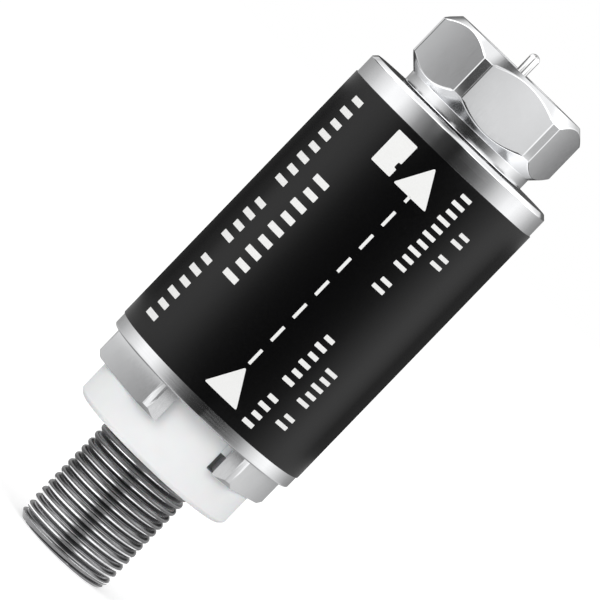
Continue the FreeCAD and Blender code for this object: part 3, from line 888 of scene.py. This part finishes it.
def nut_angles():
    """Columns round the nut: even on the flats and corners, close together where a flat ends."""
    flat_end, half = math.degrees(math.acos(NUT_FLAT / NUT_CORNER)), 30.0
    near, far = flat_end - 1.2, flat_end + 1.2
    offs = []
    for low, high, longest in ((0.0, near, 1.5), (near, far, 0.16), (far, half, 0.9)):
        parts = math.ceil((high - low) / longest)
        offs += [low + (high - low) * part / parts for part in range(parts)]
    offs = [-off for off in reversed(offs[1:])] + offs + [half]
    return [math.radians(side * 60 + off - 90) + NUT_TURN for side in range(6) for off in offs]


def nut_shell():
    """The nut without its thread: turned corners and skirt, and a bore with a lip behind."""
    bottom, top = ends_of("coupling_nut")
    rear, front, lip = bottom + NUT_REAR, top - (NUT_CORNER - NUT_FACE), bottom + NUT_LIP
    full = rear + NUT_CORNER - NUT_SKIRT
    corners = (
        (NUT_HOLE, bottom, 0.1),
        (NUT_SKIRT, bottom, 0.12),
        (NUT_SKIRT, rear, 0.06),
        (NUT_CORNER, full, 0.05),
        (NUT_CORNER, front, 0.05),
        (NUT_FACE, top, 0.1),
        (NUT_BORE + NUT_MOUTH, top, 0.06),
        (NUT_BORE, top - NUT_MOUTH, 0.06),
        (NUT_BORE, lip, 0),
        (NUT_HOLE, lip, 0.06),
    )
    fine = 0.035 * MM
    spans = ((rear, full, fine), (front, top, fine))
    return revolved(split_outline(rounded_corners(corners), spans), nut_angles(), nut_limit(sizes().nut_edge))


class ISOLATOR_OT_nut(bpy.types.Operator):
    """Captive hex nut: turned corners, rounded edges and the thread in its bore"""

    bl_idname = "isolator.nut"
    bl_label = "Coupling nut"

    def execute(self, context):
        finish = material(milled_nickel)
        low, high = foot_of("coupling_nut") + NUT_THREAD_START, top_of("coupling_nut") - NUT_MOUTH
        crest, back = NUT_BORE - sizes().nut_thread_depth, NUT_BORE + NUT_THREAD_BACK
        band = thread_band(crest, NUT_BORE, low, high, NUT_THREAD_ENDS, finish)
        behind = ((NUT_BORE, high, 0), (back, high, 0), (back, low, 0), (NUT_BORE, low, 0))
        thread = joined(band, lathe(behind, THREAD_COLUMNS, closed=False))
        nut = joined(nut_shell(), thread)
        piece("coupling_hex_nut", nut, finish, "nickel", "coupling_nut", body=TURNING, flat_faces=False)
        return {"FINISHED"}


class ISOLATOR_OT_plug(bpy.types.Operator):
    """What stands inside the nut: post, dielectric and pin"""

    bl_idname = "isolator.plug"
    bl_label = "Plug post and pin"

    def execute(self, context):
        for name, node, finish, slot in (
            ("plug_post", "front_post", turned_nickel, "nickel"),
            ("plug_dielectric", "front_dielectric", moulded_plastic, "white_plastic"),
        ):
            piece(name, softened(node, POST_EDGE), material(finish), slot, node)
        root, (foot, tip) = radius_of("center_pin"), ends_of("center_pin")
        shoulder = top_of("front_dielectric")
        rises = [math.pi / 2 * step / 8 for step in range(9)]
        corners = (
            (0.0, foot, 0),
            (root, foot, 0.05),
            (root, shoulder, 0.08),
            (PIN_RADIUS, shoulder, 0.05),
            *[(PIN_RADIUS * math.cos(rise), tip - PIN_DOME * (1 - math.sin(rise)), 0) for rise in rises],
        )
        mesh = revolved(rounded_corners(corners, 6), even_angles(48))
        piece("plug_pin", mesh, material(pin_wire), "pin_metal", "center_pin", flat_faces=False)
        return {"FINISHED"}


class ISOLATOR_OT_inside(bpy.types.Operator):
    """Finishes of the pieces inside, and the soft edges of the one seen in the port's mouth"""

    bl_idname = "isolator.inside"
    bl_label = "Inner pieces"

    def execute(self, context):
        plastic, brass = material(moulded_plastic), material(satin_brass)
        mouth = softened("port_dielectric", MOUTH_EDGE)
        piece("port_mouth_dielectric", mouth, plastic, "white_plastic", "port_dielectric")
        capacitor = chip_finish("fired_capacitor", colours().capacitor, False, *CHIP_BODY)
        foot, top = ends_of("signal_capacitor")
        resistor = chip_finish("fired_resistor", colours().resistor, False, *CHIP_BODY)
        body = foot + CHIP_END, top - CHIP_END
        standing = chip_finish("fired_signal_chip", colours().capacitor, True, *body)
        by_node = {
            "port_rear_insulator": plastic,
            **dict.fromkeys(("port_contact", "port_nut", "post_nut", "inner_tube", "inner_lead"), brass),
            "lead_insulation": material(natural_plastic),
            "insulating_cup": material(pressed_fibre),
            "ferrite_sleeve": material(ground_ferrite),
            "circuit_board": material(solder_mask),
            "bleed_resistor": resistor,
            "signal_capacitor": standing,
        }
        for node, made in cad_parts.items():
            if node.startswith("ground_capacitor"):
                by_node[node] = capacitor
            if node in by_node:
                made.data.materials.clear()
                made.data.materials.append(by_node[node])
        return {"FINISHED"}


# The stage

# Even light of the world on matt surfaces, and what the floor shows of its own to the camera
SKY_LIGHT, FLOOR_GLOW = 0.78, 0.4
# The soft boxes: (place, power) by name, their width and what they aim at
LAMPS = {"left_box": ((-0.5, -0.45, 0.35), 1.2), "right_box": ((0.4, -0.55, 0.4), 1.35)}
LAMP_WIDTH, LAMP_AIM = 0.4, Vector((0.0, 0.0, 0.03))
# The light tent round the part, and the heights of its lowest rings
TENT_RADIUS, TENT_WALL, TENT_HEIGHT = 0.045, 0.075, 0.12
TENT_FOOT, TENT_RINGS = 0.005, (0.0004, 0.0008, 0.0016)
# Rings of cards, one above the other, as (azimuth from the front, brightness) stops. A ring shows in what
# stands a little above it: the cap's flats, then the housing, then the nut's flats.
CARD_PEAK = 5.0
FLOOR_CARDS = (
    (-180, 0.3), (-100, 0.25), (-70, 0.3), (-20, 0.5), (30, 0.5), (60, 0.3), (120, 0.5), (180, 0.3),
)
# Bright cards on the floor between two radii, seen only from near: a thin line on each turn of the thread
FOOT_RING, FOOT_REACH = (0.0056, 0.015), 0.0135
FOOT_CARDS = (
    (-180, 1.0), (-110, 2.4), (-60, 4.6), (-20, 4.8), (-9, 0.6), (11, 0.6), (22, 4.4), (45, 3.4), (75, 2.4),
    (110, 2.6), (180, 1.0),
)
THREAD_CARDS = (
    (-180, 0.4), (-110, 0.55), (-60, 0.6), (-44, 0.9), (-30, 0.7), (-12, 0.8), (10, 0.8), (30, 0.65),
    (60, 0.6), (100, 0.8), (180, 0.4),
)
CAP_CARDS = (
    (-180, 0.4), (-110, 0.8), (-98, 0.74), (-90, 0.32), (-60, 0.6), (-44, 1.25), (-33, 1.2), (-18, 0.35),
    (-6, 0.05), (5, 0.05), (8, 0.9), (14, 0.9), (20, 0.84), (30, 0.8), (50, 0.6), (81, 0.85), (127, 0.8),
    (130, 0.76), (132, 0.38), (180, 0.4),
)
# Bright at the sides and dark in front, the same for the housing and the label
SIDE_CARDS = (
    (-75, 1.3), (-60, 1.25), (-47, 0.8), (-35, 0.35), (-22, 0.13), (-10, 0.05), (5, 0.02), (22, 0.05),
    (35, 0.15), (47, 0.35), (60, 0.8), (74, 1.2), (86, 1.3),
)
HOUSING_CARDS = (
    (-180, 0.3), (-145, 0.38), (-125, 0.5), (-105, 0.75), (-90, 1.05), *SIDE_CARDS, (100, 1.0), (115, 0.65),
    (130, 0.4), (150, 0.28), (180, 0.3),
)
LABEL_CARDS = (
    (-180, 0.03), (-125, 0.08), (-105, 0.3), (-90, 0.95), *SIDE_CARDS, (96, 1.0), (108, 0.5), (120, 0.14),
    (150, 0.05), (180, 0.03),
)
NUT_CARDS = (
    (-158, 0.05), (-154, 0.75), (-141, 0.75), (-137, 0.05), (-104, 0.05), (-99, 0.9), (-91, 0.37),
    (-87, 0.3), (-80, 1.3), (-58, 1.3), (-50, 0.5), (-42, 0.08), (-24, 0.08), (-21, 0.8), (-15, 0.8),
    (-12, 0.05), (8, 0.05), (12, 0.5), (18.5, 0.9), (23.5, 0.94), (26, 0.75), (31, 1.3), (58, 1.3),
    (67, 0.57), (84, 0.57), (90, 1.3), (120, 1.3), (127, 0.85), (131, 0.74), (133, 0.5), (135.5, 0.2),
    (180, 0.05),
)
UPPER_CARDS = (
    (-180, 0.2), (-155, 0.2), (-143, 0.9), (-130, 1.2), (-105, 2.6), (-20, 2.6), (-7, 0.6), (7, 0.6),
    (20, 2.6), (105, 2.6), (135, 1.2), (150, 0.7), (180, 0.5),
)
# Heights over which one ring gives way to the next, in metres
RING_CHANGES = (
    (THREAD_CARDS, 0.0008, 0.0016),
    (CAP_CARDS, 0.0085, 0.0095),
    (HOUSING_CARDS, 0.0124, 0.0132),
    (LABEL_CARDS, 0.0157, 0.0167),
    (HOUSING_CARDS, 0.0422, 0.0432),
    (NUT_CARDS, 0.0462, 0.0478),
    (UPPER_CARDS, 0.0575, 0.062),
)
# The crown overhead: the heights over which it begins, and its brightness
CROWN_CHANGE, CROWN = (0.094, 0.104), 1.15
# A dark spot in it a little left of the axis: brightness, place along X, and the radii over which it ends
CROWN_SPOT, SPOT_SIDE, SPOT_RADII = 0.09, -0.008, (0.006, 0.017)
# Between these two azimuths, in radians, the crown fades from one share of itself to another
CROWN_BACK = (2.15, 2.6, 1.0, 0.65)


def shown(wire):
    """1 for what the camera sees, itself or in gloss or clear plastic, and else 0."""
    rays = wire.node("ShaderNodeLightPath").outputs
    seen = wire.sum("MAXIMUM", rays["Is Camera Ray"], rays["Is Glossy Ray"])
    return wire.sum("MAXIMUM", seen, rays["Is Transmission Ray"])


def white_world():
    """White where the camera, metal or clear plastic sees it, and an even soft light on everything else."""
    world = bpy.data.worlds.new("studio")
    world.use_nodes = True
    world.node_tree.nodes.clear()
    wire = Wiring(world.node_tree)
    strength = wire.between(shown(wire), 0.0, 1.0, SKY_LIGHT, 1.0)
    background = wire.node("ShaderNodeBackground", Color=WHITE, Strength=strength)
    wire.node("ShaderNodeOutputWorld", Surface=background.outputs[0])
    return world


def floor_finish():
    """Pale floor that shows white to the camera and keeps the shadow."""
    finish = Finish("pale_floor", Roughness=0.9, Base_Color=(0.8, 0.8, 0.8, 1.0), Specular_IOR_Level=0.0)
    finish.shader.inputs["Emission Color"].default_value = WHITE
    wire = finish.wire
    wire.feed(finish.shader.inputs["Emission Strength"], wire.sum("MULTIPLY", shown(wire), FLOOR_GLOW))
    return finish.material


def lamp(name, place, power):
    """A soft box that neither the camera nor gloss sees."""
    light = bpy.data.lights.new(name, "AREA")
    light.shape = "RECTANGLE"
    light.size = light.size_y = LAMP_WIDTH
    light.energy = power
    made = bpy.data.objects.new(name, light)
    made.location = place
    made.rotation_mode = "QUATERNION"
    made.rotation_quaternion = (LAMP_AIM - Vector(place)).to_track_quat("-Z", "Y")
    made.visible_camera = made.visible_glossy = False
    bpy.context.scene.collection.objects.link(made)


def card_ring(wire, turn, stops):
    """Brightness round the tent, from (azimuth, brightness) stops."""
    ramp = wire.node("ShaderNodeValToRGB", Fac=turn)
    elements = ramp.color_ramp.elements
    while len(elements) < len(stops):
        elements.new(0.5)
    for element, (azimuth, value) in zip(elements, stops):
        element.position = azimuth / 360 + 0.5
        element.color = (*[value / CARD_PEAK] * 3, 1.0)
    return wire.sum("MULTIPLY", ramp.outputs["Color"], CARD_PEAK)


def tent_finish():
    """The rings of cards and the crown, as light by azimuth and height."""
    made = bpy.data.materials.new("light_tent")
    made.use_nodes = True
    made.node_tree.nodes.clear()
    wire = Wiring(made.node_tree)
    here = wire.here()
    place = wire.apart(here)
    azimuth = wire.sum("ARCTAN2", place["X"], wire.sum("MULTIPLY", place["Y"], -1.0))
    turn = wire.between(azimuth, -math.pi, math.pi)
    near = wire.sum("LESS_THAN", wire.node("ShaderNodeLightPath").outputs["Ray Length"], FOOT_REACH)
    for operation, radius in zip(("GREATER_THAN", "LESS_THAN"), FOOT_RING):
        near = wire.sum("MULTIPLY", near, wire.sum(operation, wire.length(here), radius))
    floor, foot = card_ring(wire, turn, FLOOR_CARDS), card_ring(wire, turn, FOOT_CARDS)
    light = wire.between(near, 0.0, 1.0, floor, foot)
    for cards, low, high in RING_CHANGES:
        rise = wire.between(place["Z"], low, high, smooth=True)
        light = wire.between(rise, 0.0, 1.0, light, card_ring(wire, turn, cards))
    off = wire.length(wire.together(wire.sum("SUBTRACT", place["X"], SPOT_SIDE), place["Y"]))
    crown = wire.between(off, *SPOT_RADII, CROWN_SPOT, CROWN, smooth=True)
    crown = wire.sum("MULTIPLY", crown, wire.between(wire.sum("ABSOLUTE", azimuth), *CROWN_BACK, smooth=True))
    light = wire.between(wire.between(place["Z"], *CROWN_CHANGE, smooth=True), 0.0, 1.0, light, crown)
    glow = wire.node("ShaderNodeEmission", Strength=light)
    wire.node("ShaderNodeOutputMaterial", Surface=glow.outputs[0])
    return made


def light_tent():
    """A tent of cards round the part, seen in its gloss only."""
    corners = [(TENT_FOOT, TENT_RINGS[0], 0)]
    corners += [(TENT_RADIUS, height, 0) for height in (*TENT_RINGS, TENT_WALL)]
    for step in range(1, 13):
        rise = math.pi / 2 * step / 12
        height = TENT_WALL + (TENT_HEIGHT - TENT_WALL) * math.sin(rise)
        corners.append((TENT_RADIUS * math.cos(rise), height, 0))
    made = as_object("light_tent", lathe(corners, 96, closed=False), tent_finish())
    made.visible_camera = made.visible_diffuse = made.visible_shadow = False
    made.visible_transmission = made.visible_volume_scatter = False


def photo_camera(stage):
    """The camera of the photograph: far off, a little above, and rolled."""
    data = bpy.data.cameras.new("camera")
    data.lens, data.sensor_width = 336.0, 36.0
    data.clip_start, data.clip_end = 0.01, 10.0
    made = bpy.data.objects.new("camera", data)
    bpy.context.scene.collection.objects.link(made)
    made.location = (-stage.aim_side, -stage.camera_distance, stage.camera_height)
    aim = Vector((-stage.aim_side, 0.0, stage.aim_height))
    made.rotation_mode = "QUATERNION"
    look = (aim - made.location).to_track_quat("-Z", "Y")
    made.rotation_quaternion = look @ Quaternion((0.0, 0.0, 1.0), stage.camera_roll)
    return made


class ISOLATOR_OT_stage(bpy.types.Operator):
    """Pale floor, studio light and the camera"""

    bl_idname = "isolator.stage"
    bl_label = "Stage"

    def execute(self, context):
        scene = context.scene
        mesh = bmesh.new()
        bmesh.ops.create_circle(mesh, cap_ends=True, segments=96, radius=1.2)
        as_object("floor", mesh, floor_finish())
        scene.world = white_world()
        light_tent()
        for name, (place, power) in LAMPS.items():
            lamp(name, place, power)
        scene.view_settings.view_transform = "Standard"
        scene.camera = photo_camera(scene.isolator_stage)
        return {"FINISHED"}


class ISOLATOR_PT_panel(bpy.types.Panel):
    """Lists what builds the isolator"""

    bl_idname = "ISOLATOR_PT_panel"
    bl_label = "Ground loop isolator"
    bl_space_type = "VIEW_3D"
    bl_region_type = "UI"
    bl_category = "Isolator"

    def draw(self, context):
        scene = context.scene
        for operator in OPERATORS:
            self.layout.operator(operator.bl_idname)
        for family in GROUPS:
            group, column = getattr(scene, family), self.layout.column()
            for name in group.bl_rna.properties.keys():
                if name not in ("rna_type", "name"):
                    column.prop(group, name)


OPERATORS = (
    ISOLATOR_OT_port,
    ISOLATOR_OT_bush,
    ISOLATOR_OT_cap,
    ISOLATOR_OT_housing,
    ISOLATOR_OT_label,
    ISOLATOR_OT_print,
    ISOLATOR_OT_nut,
    ISOLATOR_OT_plug,
    ISOLATOR_OT_inside,
    ISOLATOR_OT_stage,
)
GROUPS = {
    "isolator_sizes": IsolatorSizes,
    "isolator_colours": IsolatorColours,
    "isolator_stage": IsolatorStage,
}


def register():
    for kind in (*GROUPS.values(), *OPERATORS, ISOLATOR_PT_panel):
        bpy.utils.register_class(kind)
    for name, kind in GROUPS.items():
        setattr(bpy.types.Scene, name, bpy.props.PointerProperty(type=kind))


def unregister():
    for name in GROUPS:
        delattr(bpy.types.Scene, name)
    for kind in reversed((*GROUPS.values(), *OPERATORS, ISOLATOR_PT_panel)):
        bpy.utils.unregister_class(kind)


def main():
    register()
    for operator in OPERATORS:
        getattr(bpy.ops.isolator, operator.bl_idname.split(".")[1])()


if __name__ == "__main__":
    main()
